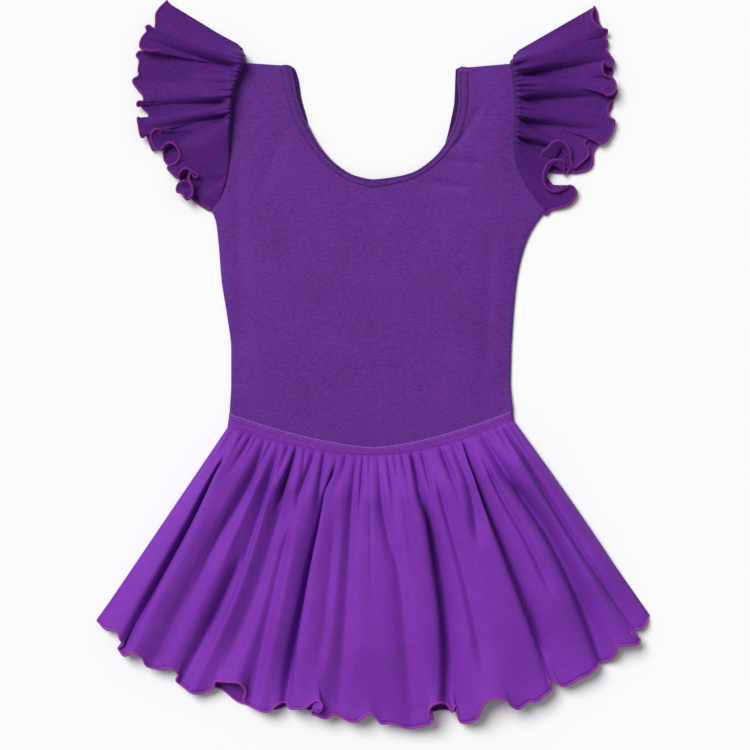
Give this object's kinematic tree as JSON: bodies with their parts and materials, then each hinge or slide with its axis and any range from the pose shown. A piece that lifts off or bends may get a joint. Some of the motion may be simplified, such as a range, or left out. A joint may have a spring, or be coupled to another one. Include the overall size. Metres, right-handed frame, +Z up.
{
  "type": "skirted leotard with flutter sleeves, laid flat",
  "caption": "Child's knit leotard laid flat, front up: scoop neck with a stitched band, gathered flutter sleeves with ruffled hems, and a gathered skirt with a ruffled hem under a flat waist band",
  "frame": {"origin": "on the surface it lies on, at the flat underside of the back panel, half way down the garment on its centre line", "axes": "+X across the garment to the right as seen from above, +Y along it from the hem to the shoulders, +Z up from the surface"},
  "size_m": [0.4002, 0.5216, 0.0129],
  "materials": {
    "bodice_knit": "fine matt jersey, deep purple",
    "skirt_knit": "fine matt jersey, brighter purple",
    "band_knit": "flat stitched jersey band, brighter purple"
  },
  "bodies": {
    "root": {"bodice_front": "bodice_knit", "bodice_back": "bodice_knit", "neck_band_front": "bodice_knit", "neck_band_back": "bodice_knit", "sleeve_left": "bodice_knit", "sleeve_right": "bodice_knit", "skirt_band_front": "band_knit", "skirt_band_back": "band_knit", "skirt_front": "skirt_knit", "skirt_back": "skirt_knit"}
  },
  "joints": []
}
